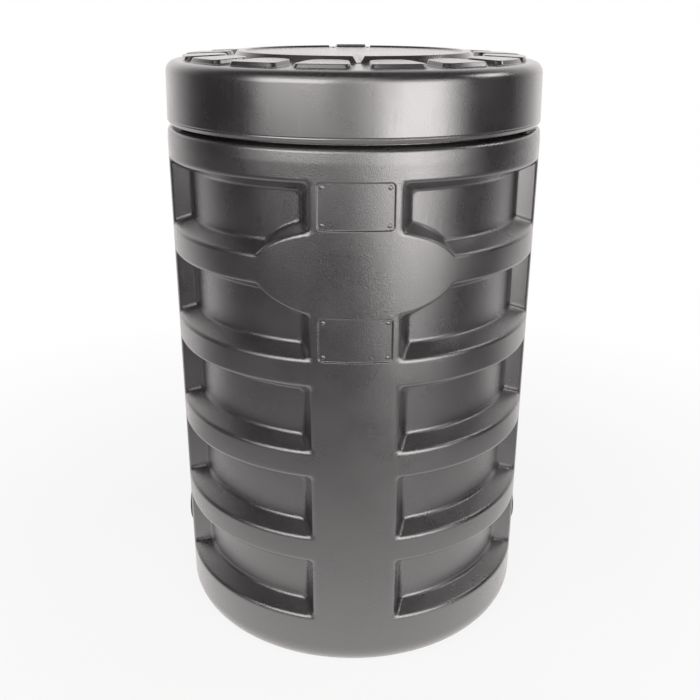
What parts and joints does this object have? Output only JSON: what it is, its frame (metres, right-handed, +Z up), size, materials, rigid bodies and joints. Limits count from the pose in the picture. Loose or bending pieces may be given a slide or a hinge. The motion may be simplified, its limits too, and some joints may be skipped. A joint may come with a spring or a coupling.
{
  "type": "water meter chamber",
  "caption": "Round ribbed plastic chamber with a loose lift-off lid and a pipe connector low on each side; it houses a water meter below ground.",
  "frame": {"origin": "middle of the flat base, on the ground side", "axes": "+Z up, front with the oval land and the sunk plates to -Y, pipe connectors along X"},
  "size_m": [0.566, 0.56, 0.9015],
  "materials": {
    "body_plastic": "black polyethylene, satin, with a fine pebbled moulding texture",
    "lid_plastic": "black polyethylene, satin and smoother than the body",
    "connector_plastic": "black moulded plastic"
  },
  "bodies": {
    "chamber": {"base_pan": "body_plastic", "front_column": "body_plastic", "right_column": "body_plastic", "back_column": "body_plastic", "left_column": "body_plastic", "front_right_panel_1": "body_plastic", "back_right_panel_1": "body_plastic", "back_left_panel_1": "body_plastic", "front_left_panel_1": "body_plastic", "front_right_panel_2": "body_plastic", "back_right_panel_2": "body_plastic", "back_left_panel_2": "body_plastic", "front_left_panel_2": "body_plastic", "front_right_panel_3": "body_plastic", "back_right_panel_3": "body_plastic", "back_left_panel_3": "body_plastic", "front_left_panel_3": "body_plastic", "front_right_panel_4": "body_plastic", "back_right_panel_4": "body_plastic", "back_left_panel_4": "body_plastic", "front_left_panel_4": "body_plastic", "front_right_panel_5": "body_plastic", "back_right_panel_5": "body_plastic", "back_left_panel_5": "body_plastic", "front_left_panel_5": "body_plastic", "shoulder_neck": "body_plastic", "right_sleeve": "connector_plastic", "left_sleeve": "connector_plastic", "right_nut": "connector_plastic", "left_nut": "connector_plastic"},
    "lid": {"lid_skirt": "lid_plastic", "lid_deck": "lid_plastic"}
  },
  "joints": [
    {"name": "lid_lift", "type": "slide", "parent": "chamber", "child": "lid", "axis": [0, 0, 1], "range_m": [0, 0.3]}
  ]
}
